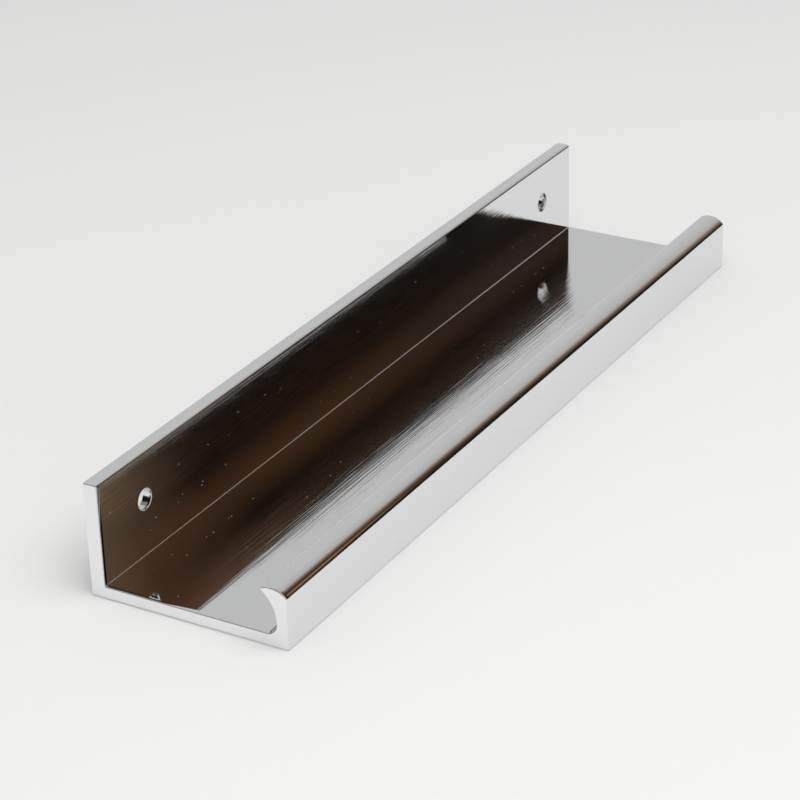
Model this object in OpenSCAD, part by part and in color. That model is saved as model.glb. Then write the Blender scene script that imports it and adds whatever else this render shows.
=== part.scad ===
// Edge pull: one straight length of polished extrusion that wraps the edge of a
// drawer front. The upright flange is screwed to the back of the front, the flat
// plate lies across its edge, and the hooked lip stands off the face for the fingers.
// Modelled lying on its plate: X runs from the flange to the lip, Y along the
// extrusion and Z up from the underside of the plate. All sizes in millimetres.

/* [Overall] */
// Length of the cut piece along the extrusion
pull_length = 200; // [60:1:600]
// Width from the back of the flange to the outer face of the lip
pull_width = 45; // [32:0.5:80]
// Height of the flange from the underside of the plate
flange_height = 24.6; // [20:0.1:60]

/* [Walls] */
// Thickness of the upright flange
flange_wall = 3.3; // [2.4:0.1:5]
// Thickness of the flat plate
plate_wall = 2.7; // [2:0.1:3.6]

/* [Lip] */
// Height of the sharp corner at the top of the lip's outer face
lip_corner_height = 11.1; // [10.2:0.1:12]
// Height of the crown, the highest line of the lip
lip_height = 12.7; // [12.3:0.1:13.4]
// Radius of the crown, the convex top of the lip
crown_radius = 5; // [4.4:0.1:5.6]
// Wall of the lip at its thinnest, beside the deepest line of the finger hollow
lip_wall = 2.6; // [1.8:0.1:3.2]
// Radius of the finger hollow under the lip
hollow_radius = 8; // [7.4:0.1:9]
// Height of the deepest line of the finger hollow
hollow_height = 5.3; // [4.8:0.1:5.8]
// Radius of the blunt tip between hollow and crown
tip_radius = 0.45; // [0.2:0.05:0.6]

/* [Corners] */
// Radius in the corner between plate and lip
lip_fillet = 2.3; // [1:0.1:3]
// Radius in the corner between plate and flange
flange_fillet = 0.45; // [0.2:0.05:1.5]
// Radius of the flange's top edge on the side of the plate
flange_top_inner_radius = 0.8; // [0.2:0.1:1.2]
// Radius of the flange's top edge on its back
flange_top_outer_radius = 0.25; // [0.1:0.05:1]
// Radius of the two long edges under the plate
foot_radius = 0.4; // [0.1:0.05:1]

/* [Screw holes] */
// Number of screw holes, evenly spaced along the flange
hole_count = 2; // [2:1:4]
// Distance from each end of the pull to its nearest hole
hole_inset = 15; // [8:0.5:25]
// Distance of the hole axes below the top of the flange
hole_drop = 10; // [7:0.5:12]
// Diameter of the clearance hole for the screw
hole_diameter = 4.5; // [3:0.1:6]
// Diameter of the countersink, at the back of the flange
countersink_diameter = 7; // [6.4:0.1:8.6]
// Included angle of the countersink
countersink_angle = 90; // [82:1:100]
// Width of the broken edge of each hole, at the front of the flange
hole_edge_break = 0.15; // [0.05:0.05:0.3]

/* [Hidden] */
$fn = 96;

// Cuts run this far past the faces that they open
past = 1;
// Circles that blend into other arcs are this much larger, so that they cross them
overlap = 0.0005;

// The hollow is a circle that leaves the lip wall at its deepest line
hollow_x = pull_width - lip_wall - hollow_radius;
// The crown is a circle through the top corner of the outer face
crown_z = lip_height - crown_radius;
crown_x = pull_width - sqrt(pow(crown_radius, 2) - pow(lip_corner_height - crown_z, 2));

// The tip's circle lies inside the crown's circle and outside the hollow's
tip = circles_meet([hollow_x, hollow_height], hollow_radius + tip_radius,
                   [crown_x, crown_z], crown_radius - tip_radius);

// The fillet's circle touches the plate and lies inside the hollow's circle
fillet_z = plate_wall + lip_fillet;
fillet_x = hollow_x
    + sqrt(pow(hollow_radius - lip_fillet, 2) - pow(fillet_z - hollow_height, 2));
fillet_end = along([hollow_x, hollow_height], [fillet_x, fillet_z], hollow_radius);

hole_z = flange_height - hole_drop;
hole_pitch = (pull_length - 2 * hole_inset) / (hole_count - 1);
countersink_depth = (countersink_diameter - hole_diameter) / 2 / tan(countersink_angle / 2);

// Point at a given distance from one point, in the direction of another
function along(from, to, distance) = from + (to - from) * distance / norm(to - from);

// Upper point where two circles cross, the second circle lying to the right
function circles_meet(a, ra, b, rb) =
    let (d = norm(b - a),
         u = (b - a) / d,
         s = (ra * ra - rb * rb + d * d) / (2 * d),
         h = sqrt(ra * ra - s * s))
    a + s * u + h * [-u[1], u[0]];

// What a rounded corner loses; side_x and side_z point from the corner into the metal
module corner_cut(corner, radius, side_x, side_z) {
    translate(corner) mirror([side_x < 0 ? 1 : 0, 0]) mirror([0, side_z < 0 ? 1 : 0])
        difference() {
            translate([-past, -past]) square(radius + past);
            translate([radius, radius]) circle(radius);
        }
}

module flange_section() {
    difference() {
        square([flange_wall, flange_height]);
        corner_cut([flange_wall, flange_height], flange_top_inner_radius, -1, -1);
        corner_cut([0, flange_height], flange_top_outer_radius, 1, -1);
    }
}

module plate_section() {
    square([pull_width, plate_wall]);
}

// Fills the corner between plate and flange
module flange_fillet_section() {
    translate([flange_wall, plate_wall]) difference() {
        square(flange_fillet);
        translate([flange_fillet, flange_fillet]) circle(flange_fillet);
    }
}

module lip_section() {
    difference() {
        intersection() {
            // The crown, and the straight outer wall below its centre
            union() {
                translate([crown_x, crown_z]) circle(crown_radius);
                translate([fillet_x, 0]) square([pull_width, crown_z]);
            }
            square([pull_width, lip_height + past]);
        }
        finger_hollow_section();
        beyond_tip_section();
    }
    translate(tip) circle(tip_radius + overlap);
}

// What the hollow opens above the plate, down to the arc of its fillet
module finger_hollow_section() {
    difference() {
        translate([hollow_x, hollow_height]) circle(hollow_radius);
        translate([0, -pull_width]) square([2 * pull_width, pull_width + plate_wall]);
        difference() {
            polygon([[fillet_x, fillet_z],
                     [fillet_x, 0],
                     [pull_width, 0],
                     along([fillet_x, fillet_z], fillet_end, pull_width)]);
            translate([fillet_x, fillet_z]) circle(lip_fillet);
        }
    }
}

// Cuts the thin edge where hollow and crown cross, so that the tip's circle ends the lip
module beyond_tip_section() {
    on_hollow = along([hollow_x, hollow_height], tip, hollow_radius);
    on_crown = along([crown_x, crown_z], tip, crown_radius);
    chord = on_crown - on_hollow;
    outward = [-chord[1], chord[0]] * 4 * tip_radius / norm(chord);
    polygon([on_hollow, on_crown, on_crown + outward, on_hollow + outward]);
}

// Cross-section of the whole extrusion, from the back of the flange to the lip
module pull_section() {
    difference() {
        union() {
            flange_section();
            plate_section();
            flange_fillet_section();
            lip_section();
        }
        corner_cut([0, 0], foot_radius, 1, 1);
        corner_cut([pull_width, 0], foot_radius, -1, 1);
    }
}

// Clearance hole along +X with its countersink at the back, where the screw head seats
module screw_hole() {
    rotate([0, 90, 0]) {
        translate([0, 0, -past]) cylinder(h = flange_wall + 2 * past, d = hole_diameter);
        translate([0, 0, -past])
            cylinder(h = past + countersink_depth,
                     d1 = countersink_diameter + 2 * past * tan(countersink_angle / 2),
                     d2 = hole_diameter);
        translate([0, 0, flange_wall - hole_edge_break])
            cylinder(h = hole_edge_break + past,
                     d1 = hole_diameter,
                     d2 = hole_diameter + 2 * (hole_edge_break + past));
    }
}

module edge_pull() {
    color("silver") translate([-pull_width / 2, -pull_length / 2, 0]) difference() {
        translate([0, pull_length, 0]) rotate([90, 0, 0])
            linear_extrude(height = pull_length) pull_section();
        for (i = [0 : hole_count - 1])
            translate([0, hole_inset + i * hole_pitch, hole_z]) screw_hole();
    }
}

edge_pull();
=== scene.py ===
import math

import bmesh
import bpy
from mathutils import Matrix, Vector


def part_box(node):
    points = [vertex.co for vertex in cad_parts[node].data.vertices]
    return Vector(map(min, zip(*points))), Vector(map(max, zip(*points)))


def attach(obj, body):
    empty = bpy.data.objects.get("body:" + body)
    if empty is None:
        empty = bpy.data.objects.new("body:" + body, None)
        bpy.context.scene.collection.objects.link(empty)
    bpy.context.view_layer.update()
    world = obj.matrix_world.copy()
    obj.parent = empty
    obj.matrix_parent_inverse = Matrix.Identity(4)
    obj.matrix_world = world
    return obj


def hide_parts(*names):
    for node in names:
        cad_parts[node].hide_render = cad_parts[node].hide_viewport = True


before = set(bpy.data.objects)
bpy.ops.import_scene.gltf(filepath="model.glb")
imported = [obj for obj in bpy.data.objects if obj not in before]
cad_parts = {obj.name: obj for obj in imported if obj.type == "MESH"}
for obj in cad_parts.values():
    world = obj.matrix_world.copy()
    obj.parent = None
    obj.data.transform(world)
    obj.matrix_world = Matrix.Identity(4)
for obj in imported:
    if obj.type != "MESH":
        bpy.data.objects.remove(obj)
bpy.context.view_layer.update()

# An edge pull: one length of polished metal, a screw flange behind, a flat plate, and a hooked
# finger lip in front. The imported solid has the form. The piece made here is the same form with
# finer curves and slightly worn edges, because a mirror finish shows every facet of a coarse mesh.
# Lengths are in metres. The section is drawn as the pull is made: x runs from the back of the
# flange to the front of the lip, z up from the underside.

MM = 0.001
PULL = "edge_pull"

# The section of the pull
low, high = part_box(PULL)
PULL_WIDTH = high.x - low.x
PULL_LENGTH = high.y - low.y
FLANGE_HEIGHT = high.z - low.z
FLANGE_WALL = 3.3 * MM
PLATE_WALL = 2.7 * MM
LIP_CORNER_HEIGHT = 11.1 * MM
LIP_HEIGHT = 12.7 * MM
CROWN_RADIUS = 5.0 * MM
LIP_WALL = 2.6 * MM
HOLLOW_RADIUS = 8.0 * MM
HOLLOW_HEIGHT = 5.3 * MM
TIP_RADIUS = 0.45 * MM
LIP_FILLET = 2.3 * MM
FLANGE_FILLET = 0.15 * MM
FLANGE_TOP_INNER_RADIUS = 1.2 * MM
FLANGE_TOP_INNER_START = math.radians(38)
FLANGE_TOP_OUTER_RADIUS = 0.25 * MM
FOOT_RADIUS = 0.4 * MM

# Where the round hollow of the lip is centred, and where its fillet leaves the plate
HOLLOW_X = PULL_WIDTH - LIP_WALL - HOLLOW_RADIUS
FILLET_Z = PLATE_WALL + LIP_FILLET
FILLET_X = HOLLOW_X + math.sqrt((HOLLOW_RADIUS - LIP_FILLET) ** 2 - (FILLET_Z - HOLLOW_HEIGHT) ** 2)

# The screw holes, countersunk from the back
HOLE_INSET = 15.0 * MM
HOLE_DROP = 10.0 * MM
HOLE_DIAMETER = 4.5 * MM
COUNTERSINK_DIAMETER = 7.0 * MM
HOLE_EDGE_BREAK = 0.15 * MM

# How finely the curves are cut, and how far the sawn ends are rounded by polishing
ARC_STEP = math.radians(1.5)
ARC_LEAST = 8
END_DEPTH = 0.2 * MM
END_LENGTH = 0.9 * MM
END_RINGS = 12
HOLE_STEPS = 96
SHARP_EDGE = math.radians(30)

# The camera: where it stands and which way it looks, from the photograph's perspective
CAMERA_PLACE = (254.794 * MM, -450.918 * MM, 260.121 * MM)
CAMERA_RIGHT = (0.867611, 0.496572, -0.025832)
CAMERA_UP = (-0.200859, 0.397517, 0.895341)
CAMERA_BACK = (0.454871, -0.771619, 0.444631)
CAMERA_LENS = 119.20

# The studio: a pale floor, an even pale room and one broad soft lamp
FLOOR_SIZE = 6.0
FLOOR_COLOUR = (0.825, 0.821, 0.816)
HORIZON_LIGHT = 0.86
ROOM_LIGHT = 0.61
CEILING_LIGHT = 0.395
LAMP_POWER = 5.1
LAMP_SIZE = 0.9
LAMP_PLACE = (0.307, -0.189, 0.80)

# The metal, smoothest by the crease and worked with fine lines further off. LINE_SCALE is how
# many noise cells lie in a metre across the lines, and LINE_STRETCH the share of that along them.
METAL_COLOUR = (0.80, 0.804, 0.81)
# The sawn end faces get a paler base colour. This is partly their own sawn tone and partly painted light,
# standing for the lamp's light on a satin end.
SAWN_AND_LIT_COLOUR = (0.88, 0.885, 0.89)
SMOOTH_ROUGHNESS = 0.02
WORKED_ROUGHNESS = 0.075
ANISOTROPY = 0.9
LINE_DEPTH = 0.024 * MM
LINE_SCALE = 2600.0
LINE_STRETCH = 0.012
SMOOTH_LINES = 0.01
WORKED_LINES = 1.0
FLANGE_SHARE = 0.65

# A few specks of dust on it
DUST_COLOUR = (0.7, 0.68, 0.65)
DUST_SIZE = 0.13 * MM
DUST_SPACING = 9 * MM


def meet(a, radius_a, b, radius_b):
    """Where circles round a and b cross, on the left of the way from a to b."""
    apart = (b - a).length
    along = (b - a) / apart
    forward = (radius_a ** 2 - radius_b ** 2 + apart ** 2) / (2 * apart)
    aside = math.sqrt(radius_a ** 2 - forward ** 2)
    return a + forward * along + aside * Vector((-along.y, along.x))


def heading(a, b):
    """The angle of the way from a to b."""
    return math.atan2(b.y - a.y, b.x - a.x)


def mitre(a, b):
    """How far a corner between two faces moves, and which way, when both faces move out by 1."""
    return (a + b) / (1 + a.dot(b))


def arc(centre, radius, start, end, convex=True):
    """Points of an arc, each with the direction that faces out of the metal there."""
    steps = max(ARC_LEAST, math.ceil(abs(end - start) / ARC_STEP))
    points = []
    for i in range(steps + 1):
        angle = start + (end - start) * i / steps
        out = Vector((math.cos(angle), math.sin(angle)))
        points.append((centre + radius * out, out if convex else -out))
    return points


def section_outline():
    """The outline of the section, counter-clockwise from its back foot.

    Each point comes with the direction that faces out of the metal there.
    """
    quarter = math.pi / 2
    hollow = Vector((HOLLOW_X, HOLLOW_HEIGHT))
    crown_z = LIP_HEIGHT - CROWN_RADIUS
    corner_rise = LIP_CORNER_HEIGHT - crown_z
    crown = Vector((PULL_WIDTH - math.sqrt(CROWN_RADIUS ** 2 - corner_rise ** 2), crown_z))
    tip = meet(hollow, HOLLOW_RADIUS + TIP_RADIUS, crown, CROWN_RADIUS - TIP_RADIUS)
    fillet = Vector((FILLET_X, FILLET_Z))
    corner = Vector((PULL_WIDTH, LIP_CORNER_HEIGHT))

    back_foot = Vector((FOOT_RADIUS, FOOT_RADIUS))
    front_foot = Vector((PULL_WIDTH - FOOT_RADIUS, FOOT_RADIUS))
    crease = Vector((FLANGE_WALL + FLANGE_FILLET, PLATE_WALL + FLANGE_FILLET))
    inner = FLANGE_TOP_INNER_RADIUS
    outer = FLANGE_TOP_OUTER_RADIUS
    start = FLANGE_TOP_INNER_START
    top_inner = Vector((FLANGE_WALL - inner * math.cos(start), FLANGE_HEIGHT - inner))
    top_outer = Vector((outer, FLANGE_HEIGHT - outer))
    face_out = Vector((1, 0))

    outline = arc(back_foot, FOOT_RADIUS, -2 * quarter, -quarter)
    outline += arc(front_foot, FOOT_RADIUS, -quarter, 0)
    crown_run = arc(crown, CROWN_RADIUS, heading(crown, corner), heading(crown, tip))
    outline += [(corner, mitre(face_out, crown_run[0][1]))] + crown_run[1:]
    outline += arc(tip, TIP_RADIUS, heading(crown, tip), heading(tip, hollow) + 4 * quarter)[1:]
    to_fillet = heading(hollow, fillet)
    outline += arc(hollow, HOLLOW_RADIUS, heading(hollow, tip), to_fillet, convex=False)[1:]
    outline += arc(fillet, LIP_FILLET, to_fillet, -quarter, convex=False)[1:]
    outline += arc(crease, FLANGE_FILLET, 3 * quarter, 2 * quarter, convex=False)
    top_run = arc(top_inner, inner, start, quarter)
    outline += [(top_run[0][0], mitre(face_out, top_run[0][1]))] + top_run[1:]
    outline += arc(top_outer, outer, quarter, 2 * quarter)
    return outline


def pull_body():
    """The section drawn along the whole length, with rounded ends, as a new mesh object."""
    outline = section_outline()
    rings = []
    for i in range(END_RINGS + 1):
        turn = math.pi / 2 * i / END_RINGS
        rings.append((END_LENGTH * (1 - math.sin(turn)), END_DEPTH * (1 - math.cos(turn))))
    near = [(-PULL_LENGTH / 2 + y, inset) for y, inset in reversed(rings)]
    far = [(PULL_LENGTH / 2 - y, inset) for y, inset in rings]

    mesh = bmesh.new()
    loops = []
    for y, inset in near + far:
        loop = []
        for point, out in outline:
            place = point - inset * out
            loop.append(mesh.verts.new((place.x - PULL_WIDTH / 2, y, place.y)))
        loops.append(loop)
    for loop, following in zip(loops, loops[1:]):
        for i in range(len(loop)):
            mesh.faces.new((loop[i - 1], loop[i], following[i], following[i - 1]))
    mesh.faces.new(loops[0])
    mesh.faces.new(reversed(loops[-1]))
    bmesh.ops.recalc_face_normals(mesh, faces=mesh.faces)
    return object_of(mesh, "pull")


def hole_cutter(y):
    """The space of one screw hole: bore, countersink at the back and a broken edge in front."""
    past = 1 * MM
    bore = HOLE_DIAMETER / 2
    sink = COUNTERSINK_DIAMETER / 2
    turn_steps = 6
    profile = [(-past, sink + past), (sink - bore, bore)]
    for i in range(turn_steps + 1):
        turn = math.pi / 2 * i / turn_steps
        depth = FLANGE_WALL - HOLE_EDGE_BREAK * (1 - math.sin(turn))
        profile.append((depth, bore + HOLE_EDGE_BREAK * (1 - math.cos(turn))))
    profile.append((FLANGE_WALL + past, bore + HOLE_EDGE_BREAK))

    z = FLANGE_HEIGHT - HOLE_DROP
    mesh = bmesh.new()
    rings = []
    for x, radius in profile:
        ring = []
        for i in range(HOLE_STEPS):
            turn = 2 * math.pi * i / HOLE_STEPS
            place = (x - PULL_WIDTH / 2, y + radius * math.cos(turn), z + radius * math.sin(turn))
            ring.append(mesh.verts.new(place))
        rings.append(ring)
    for ring, following in zip(rings, rings[1:]):
        for i in range(HOLE_STEPS):
            mesh.faces.new((ring[i - 1], ring[i], following[i], following[i - 1]))
    mesh.faces.new(rings[0])
    mesh.faces.new(reversed(rings[-1]))
    bmesh.ops.recalc_face_normals(mesh, faces=mesh.faces)
    return object_of(mesh, "hole")


def object_of(mesh, name):
    """A new object in the scene from a bmesh, which is used up."""
    data = bpy.data.meshes.new(name)
    mesh.to_mesh(data)
    mesh.free()
    made = bpy.data.objects.new(name, data)
    bpy.context.scene.collection.objects.link(made)
    return made


def cut(body, tool):
    """Takes the tool's space out of the body's mesh and drops the tool."""
    change = body.modifiers.new("cut", "BOOLEAN")
    change.operation = "DIFFERENCE"
    change.solver = "EXACT"
    change.object = tool
    graph = bpy.context.evaluated_depsgraph_get()
    cut_mesh = bpy.data.meshes.new_from_object(body.evaluated_get(graph))
    body.modifiers.remove(change)
    body.data = cut_mesh
    bpy.data.objects.remove(tool)


def smooth(body):
    """Smooth shading that keeps the flats flat and the crisp edges crisp."""
    mesh = bmesh.new()
    mesh.from_mesh(body.data)
    for face in mesh.faces:
        face.smooth = True
    for edge in mesh.edges:
        edge.smooth = edge.calc_face_angle(0) < SHARP_EDGE
    mesh.to_mesh(body.data)
    mesh.free()
    weigh = body.modifiers.new("weigh normals", "WEIGHTED_NORMAL")
    weigh.mode = "FACE_AREA"
    weigh.weight = 100
    weigh.keep_sharp = True


def make_pull():
    """The whole pull in its finish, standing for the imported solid."""
    pull = pull_body()
    for side in (-1, 1):
        cut(pull, hole_cutter(side * (PULL_LENGTH / 2 - HOLE_INSET)))
    smooth(pull)
    pull.data.materials.clear()
    pull.data.materials.append(polished_metal())
    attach(pull, "root")
    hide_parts(PULL)


def add(tree, kind, inputs=None, **settings):
    """A new node with its settings, and for each input a value or the output it is fed from."""
    made = tree.nodes.new(kind)
    for name, value in settings.items():
        setattr(made, name, value)
    for name, value in (inputs or {}).items():
        if isinstance(value, bpy.types.NodeSocket):
            tree.links.new(value, made.inputs[name])
        else:
            made.inputs[name].default_value = value
    return made


def new_material(name):
    """An empty node material and its tree."""
    material = bpy.data.materials.new(name)
    material.use_nodes = True
    material.node_tree.nodes.clear()
    return material, material.node_tree


def polished_metal():
    """Bright polished metal with the faint lines of the polishing wheel along its length."""
    material, tree = new_material("polished metal")
    place = add(tree, "ShaderNodeTexCoord").outputs["Object"]
    axes = add(tree, "ShaderNodeSeparateXYZ", {"Vector": place})

    crease = FLANGE_WALL - PULL_WIDTH / 2
    near_end = -PULL_LENGTH / 2

    # The plate is worked away from the crease, the near end and the lip
    on_plate = rise(tree, axes.outputs["Z"], PLATE_WALL + 0.9 * MM, PLATE_WALL + 0.3 * MM)
    off_crease = rise(tree, axes.outputs["X"], crease + 6 * MM, crease + 20 * MM)
    off_end = rise(tree, axes.outputs["Y"], near_end - 15 * MM, near_end + 60 * MM)
    off_lip = rise(tree, axes.outputs["X"], PULL_WIDTH / 2 - 5 * MM, PULL_WIDTH / 2 - 9 * MM)
    plate_work = product(tree, on_plate, off_crease, off_end, off_lip)

    # The flange's inner face is worked high up and towards the far end
    from_face = add(tree, "ShaderNodeMath", {0: axes.outputs["X"], 1: crease}, operation="SUBTRACT")
    beside = add(tree, "ShaderNodeMath", {0: from_face.outputs["Value"]}, operation="ABSOLUTE")
    on_flange = rise(tree, beside.outputs["Value"], 0.8 * MM, 0.3 * MM)
    high_up = rise(tree, axes.outputs["Z"], 5 * MM, 22 * MM)
    far_off = rise(tree, axes.outputs["Y"], near_end + 120 * MM, near_end + 165 * MM)
    flange_work = product(tree, on_flange, high_up, far_off)
    worked = add(tree, "ShaderNodeMath", {
        0: flange_work,
        1: FLANGE_SHARE,
        2: plate_work,
    }, operation="MULTIPLY_ADD").outputs["Value"]

    drawn = add(tree, "ShaderNodeMapping", {"Vector": place, "Scale": (1.0, LINE_STRETCH, 1.0)})
    lines = add(tree, "ShaderNodeTexNoise", {
        "Vector": drawn.outputs["Vector"],
        "Scale": LINE_SCALE,
        "Detail": 2.0,
        "Roughness": 0.5,
    }).outputs["Fac"]
    depth = add(tree, "ShaderNodeMapRange", {
        "Value": worked,
        "To Min": SMOOTH_LINES,
        "To Max": WORKED_LINES,
    }).outputs["Result"]
    bump = add(tree, "ShaderNodeBump", {
        "Height": lines,
        "Strength": depth,
        "Distance": LINE_DEPTH,
    })

    roughness = add(tree, "ShaderNodeMapRange", {
        "Value": worked,
        "To Min": SMOOTH_ROUGHNESS,
        "To Max": WORKED_ROUGHNESS,
    }).outputs["Result"]
    half = PULL_LENGTH / 2
    from_middle = add(tree, "ShaderNodeMath", {0: axes.outputs["Y"]}, operation="ABSOLUTE")
    # The sawn end faces are painted paler. This is partly their sawn tone and partly painted light for the
    # lamp on a satin end.
    lit_sawn_ends = rise(tree, from_middle.outputs["Value"], half - 0.06 * MM, half - 0.01 * MM)
    grain = add(tree, "ShaderNodeCombineXYZ", {"X": 0.05, "Y": 1.0, "Z": 0.03})
    metal = add(tree, "ShaderNodeBsdfPrincipled", {
        "Base Color": blend(tree, lit_sawn_ends, METAL_COLOUR, SAWN_AND_LIT_COLOUR),
        "Metallic": 1.0,
        "Roughness": roughness,
        "Anisotropic": ANISOTROPY,
        "Anisotropic Rotation": 0.25,
        "Tangent": grain.outputs["Vector"],
        "Normal": bump.outputs["Normal"],
    })
    dust = add(tree, "ShaderNodeBsdfDiffuse", {"Color": (*DUST_COLOUR, 1)})
    dusted = add(tree, "ShaderNodeMixShader", {
        0: dust_specks(tree, axes),
        1: metal.outputs["BSDF"],
        2: dust.outputs["BSDF"],
    })
    add(tree, "ShaderNodeOutputMaterial", {"Surface": dusted.outputs["Shader"]})
    return material


def dust_specks(tree, axes):
    """Where a few specks of dust lie: the cores of some cells of a loose pattern."""
    around = add(tree, "ShaderNodeMath", {
        0: axes.outputs["X"],
        1: axes.outputs["Z"],
    }, operation="ADD")
    unrolled = add(tree, "ShaderNodeCombineXYZ", {
        "X": around.outputs["Value"],
        "Y": axes.outputs["Y"],
    })
    cells = add(tree, "ShaderNodeTexVoronoi", {
        "Vector": unrolled.outputs["Vector"],
        "Scale": 1 / DUST_SPACING,
    }, voronoi_dimensions="2D")
    edge = DUST_SIZE / DUST_SPACING
    speck = rise(tree, cells.outputs["Distance"], edge, 0.6 * edge)
    tint = add(tree, "ShaderNodeSeparateColor", {"Color": cells.outputs["Color"]})
    chosen = rise(tree, tint.outputs["Red"], 0.4, 1.0)
    return product(tree, speck, chosen)


def floor_material():
    """Plain pale paper."""
    material, tree = new_material("pale paper")
    shader = add(tree, "ShaderNodeBsdfPrincipled", {
        "Base Color": (*FLOOR_COLOUR, 1),
        "Roughness": 0.9,
        "Specular IOR Level": 0.0,
    })
    add(tree, "ShaderNodeOutputMaterial", {"Surface": shader.outputs["BSDF"]})
    return material


def spot(tree, place, centre, size, turn=0.0, gradient="SPHERICAL"):
    """1 at the centre of a soft oval on a card, falling evenly to 0 at its rim."""
    moved = add(tree, "ShaderNodeMapping", {
        "Vector": place,
        "Location": (*centre, 0),
        "Rotation": (0, 0, turn),
        "Scale": (*size, 1),
    }, vector_type="TEXTURE")
    shade = add(tree, "ShaderNodeTexGradient", {"Vector": moved.outputs["Vector"]}, gradient_type=gradient)
    return shade.outputs["Fac"]


def reach(tree, place, way):
    """How far a place lies in a direction."""
    return add(tree, "ShaderNodeVectorMath", {0: place, 1: way}, operation="DOT_PRODUCT").outputs["Value"]


def rise(tree, value, low, high):
    """0 up to the low value, 1 from the high value on, and a smooth rise between.

    Where low is the larger of the two, it falls instead: 1 below high and 0 above low.
    """
    made = add(tree, "ShaderNodeMapRange", {
        "Value": value,
        "From Min": low,
        "From Max": high,
    }, interpolation_type="SMOOTHSTEP")
    return made.outputs["Result"]


def product(tree, first, *others):
    """All the values multiplied together."""
    total = first
    for other in others:
        total = add(tree, "ShaderNodeMath", {0: total, 1: other}, operation="MULTIPLY").outputs["Value"]
    return total


def colour_ramp(tree, value, stops):
    """The colour at a value, between stops of (value, colour)."""
    low = stops[0][0]
    high = stops[-1][0]
    part = add(tree, "ShaderNodeMapRange", {"Value": value, "From Min": low, "From Max": high})
    made = add(tree, "ShaderNodeValToRGB", {"Fac": part.outputs["Result"]})
    ramp = made.color_ramp
    while len(ramp.elements) < len(stops):
        ramp.elements.new(1.0)
    for element, (stop, colour) in zip(ramp.elements, stops):
        element.position = (stop - low) / (high - low)
        element.color = (*colour, 1)
    return made.outputs["Color"]


def blend(tree, factor, below, above):
    """below where the factor is 0, above where it is 1."""
    made = add(tree, "ShaderNodeMix", data_type="RGBA")
    for socket, value in ((made.inputs[0], factor), (made.inputs[6], below), (made.inputs[7], above)):
        if isinstance(value, bpy.types.NodeSocket):
            tree.links.new(value, socket)
        else:
            socket.default_value = (*value, 1)
    return made.outputs[2]


def right_card_material():
    """A dim part of the studio beyond the pull: near black, with a warm glow towards one side."""
    material, tree = new_material("dim studio")
    place = add(tree, "ShaderNodeTexCoord").outputs["Object"]
    slant = math.radians(35.3)
    along = (math.cos(slant), math.sin(slant), 0)
    below = (math.sin(slant), -math.cos(slant), 0)
    colour = colour_ramp(tree, reach(tree, place, (1.0, -0.25, 0.0)), [
        (-0.80, (0.57, 0.565, 0.56)),
        (-0.52, (0.525, 0.515, 0.495)),
        (-0.42, (0.46, 0.43, 0.41)),
        (-0.37, (0.39, 0.34, 0.315)),
        (-0.33, (0.295, 0.24, 0.215)),
        (-0.29, (0.22, 0.17, 0.146)),
        (-0.24, (0.16, 0.115, 0.094)),
        (-0.20, (0.11, 0.078, 0.061)),
        (-0.16, (0.068, 0.045, 0.033)),
        (-0.12, (0.052, 0.032, 0.020)),
        (-0.08, (0.045, 0.027, 0.015)),
    ])
    low_down = rise(tree, reach(tree, place, below), -0.095, -0.050)
    inside = rise(tree, reach(tree, place, along), -0.25, -0.16)
    night = product(tree, low_down, inside)
    colour = blend(tree, night, colour, (0.0015, 0.0022, 0.0028))
    beam = spot(tree, place, (0.027, 0.0473), (0.40, 0.026), slant)
    colour = blend(tree, beam, colour, (0.068, 0.033, 0.014))
    haze = spot(tree, place, (-0.13, -0.068), (0.13, 0.020), slant)
    colour = blend(tree, haze, colour, (0.036, 0.027, 0.022))
    ember = spot(tree, place, (0.13, 0.19), (0.13, 0.13))
    colour = blend(tree, ember, colour, (0.11, 0.055, 0.027))
    doorway = spot(tree, place, (0.18, 0.055), (0.10, 0.10), gradient="QUADRATIC_SPHERE")
    colour = blend(tree, doorway, colour, (0.33, 0.22, 0.13))
    pane = spot(tree, place, (0.168, 0.123), (0.040, 0.080), slant)
    colour = blend(tree, pane, colour, (0.135, 0.093, 0.056))
    glow = spot(tree, place, (0.030, 0.190), (0.11, 0.078), slant)
    colour = blend(tree, glow, colour, (0.36, 0.21, 0.12))
    light = add(tree, "ShaderNodeEmission", {"Color": colour})
    clear = add(tree, "ShaderNodeBsdfTransparent")
    rim = rise(tree, spot(tree, place, (-0.10, 0.10), (1.1, 0.9)), 0.0, 0.4)
    foot = rise(tree, reach(tree, place, (0, 1, 0)), -0.32, -0.22)
    mixed = add(tree, "ShaderNodeMixShader", {
        0: product(tree, rim, foot),
        1: clear.outputs["BSDF"],
        2: light.outputs["Emission"],
    })
    add(tree, "ShaderNodeOutputMaterial", {"Surface": mixed.outputs["Shader"]})
    return material


def left_card_material():
    """The dim side of the studio at the near left: from the camera only the screw holes show it."""
    material, tree = new_material("dim wall")
    place = add(tree, "ShaderNodeTexCoord").outputs["Object"]
    core = rise(tree, spot(tree, place, (-0.10, -0.14), (0.75, 0.50)), 0.0, 0.4)
    colour = blend(tree, core, (0.24, 0.225, 0.20), (0.012, 0.010, 0.009))
    light = add(tree, "ShaderNodeEmission", {"Color": colour})
    clear = add(tree, "ShaderNodeBsdfTransparent")
    mixed = add(tree, "ShaderNodeMixShader", {
        0: rise(tree, spot(tree, place, (0.0, 0.0), (1.2, 0.95)), 0.0, 0.35),
        1: clear.outputs["BSDF"],
        2: light.outputs["Emission"],
    })
    add(tree, "ShaderNodeOutputMaterial", {"Surface": mixed.outputs["Shader"]})
    return material


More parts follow.
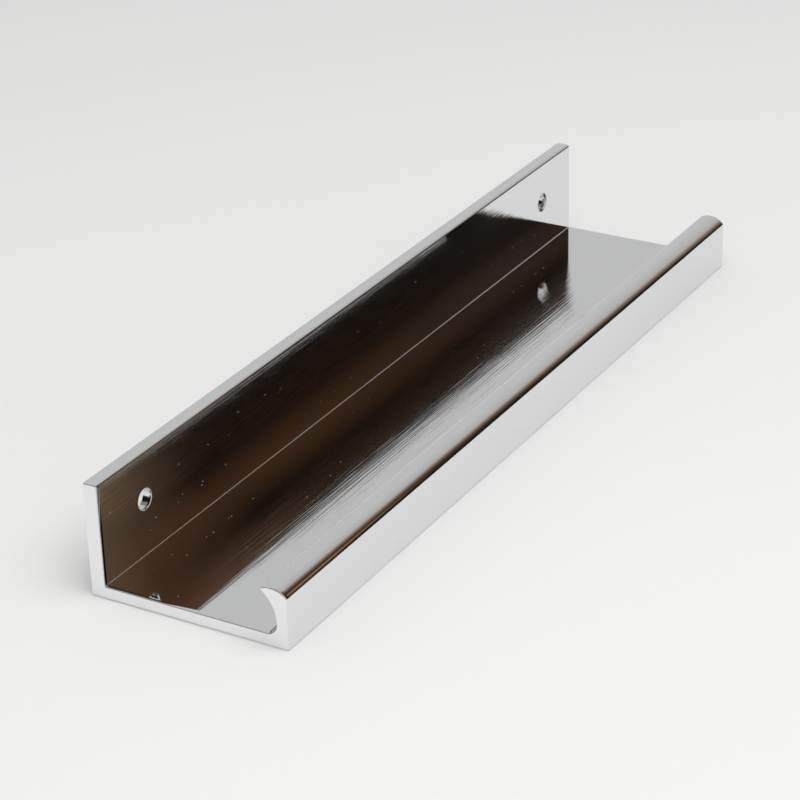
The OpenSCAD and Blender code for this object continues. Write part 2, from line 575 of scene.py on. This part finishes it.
def flat(name, width, height):
    """A flat rectangle round the origin, facing up."""
    mesh = bmesh.new()
    corners = []
    for side, end in ((-1, -1), (1, -1), (1, 1), (-1, 1)):
        corners.append(mesh.verts.new((side * width / 2, end * height / 2, 0)))
    mesh.faces.new(corners)
    return object_of(mesh, name)


def make_floor():
    """The floor that the pull lies on."""
    ground = flat("floor", FLOOR_SIZE, FLOOR_SIZE)
    ground.data.materials.append(floor_material())


def make_card(name, azimuth, elevation, distance, size, material):
    """A card that faces the pull from that direction, seen only in the polish."""
    card = flat(name, *size)
    level = math.cos(elevation)
    towards = Vector((math.sin(azimuth) * level, math.cos(azimuth) * level, math.sin(elevation)))
    right = Vector((math.cos(azimuth), -math.sin(azimuth), 0))
    up = right.cross(towards)
    axes = Matrix((right, up, -towards)).transposed()
    card.matrix_world = Matrix.Translation(towards * distance) @ axes.to_4x4()
    card.data.materials.append(material)
    card.visible_camera = False
    card.visible_diffuse = False
    card.visible_shadow = False


def make_lamp():
    """One broad soft lamp above the front right."""
    lamp = bpy.data.lights.new("soft lamp", "AREA")
    lamp.shape = "DISK"
    lamp.size = LAMP_SIZE
    lamp.energy = LAMP_POWER
    holder = bpy.data.objects.new("soft lamp", lamp)
    holder.location = LAMP_PLACE
    holder.rotation_euler = Vector(LAMP_PLACE).to_track_quat("Z", "Y").to_euler()
    holder.visible_glossy = False
    bpy.context.scene.collection.objects.link(holder)


def make_room():
    """Pale light from all round, dimmest overhead and brightest low down on the right."""
    world = bpy.data.worlds.new("room")
    world.use_nodes = True
    tree = world.node_tree
    tree.nodes.clear()
    way = add(tree, "ShaderNodeTexCoord").outputs["Generated"]
    axes = add(tree, "ShaderNodeSeparateXYZ", {"Vector": way})
    level = CEILING_LIGHT
    for share, light in (
        (rise(tree, axes.outputs["Z"], 1.0, 0.7), ROOM_LIGHT),
        (rise(tree, reach(tree, way, (0.4, 0.0, -1.0)), -0.05, 0.15), HORIZON_LIGHT),
    ):
        level = add(tree, "ShaderNodeMix", {
            "Factor": share,
            "A": level,
            "B": light,
        }, data_type="FLOAT").outputs["Result"]
    glow = add(tree, "ShaderNodeBackground", {"Color": (1, 1, 1, 1), "Strength": level})
    add(tree, "ShaderNodeOutputWorld", {"Surface": glow.outputs["Background"]})
    bpy.context.scene.world = world


def make_camera():
    """The photograph's view."""
    lens = bpy.data.cameras.new("camera")
    lens.lens = CAMERA_LENS
    lens.sensor_width = 36.0
    lens.clip_start = 0.01
    lens.clip_end = 20.0
    camera = bpy.data.objects.new("camera", lens)
    axes = Matrix((CAMERA_RIGHT, CAMERA_UP, CAMERA_BACK)).transposed()
    camera.matrix_world = Matrix.Translation(CAMERA_PLACE) @ axes.to_4x4()
    bpy.context.scene.collection.objects.link(camera)
    bpy.context.scene.camera = camera


make_pull()
make_floor()
make_card(
    "dim studio",
    azimuth=math.radians(32),
    elevation=math.radians(26),
    distance=1.2,
    size=(2.4, 1.8),
    material=right_card_material(),
)
make_card(
    "dim wall",
    azimuth=math.radians(-130),
    elevation=math.radians(32),
    distance=1.0,
    size=(2.4, 1.9),
    material=left_card_material(),
)
make_lamp()
make_room()
make_camera()
bpy.context.scene.view_settings.view_transform = "Standard"
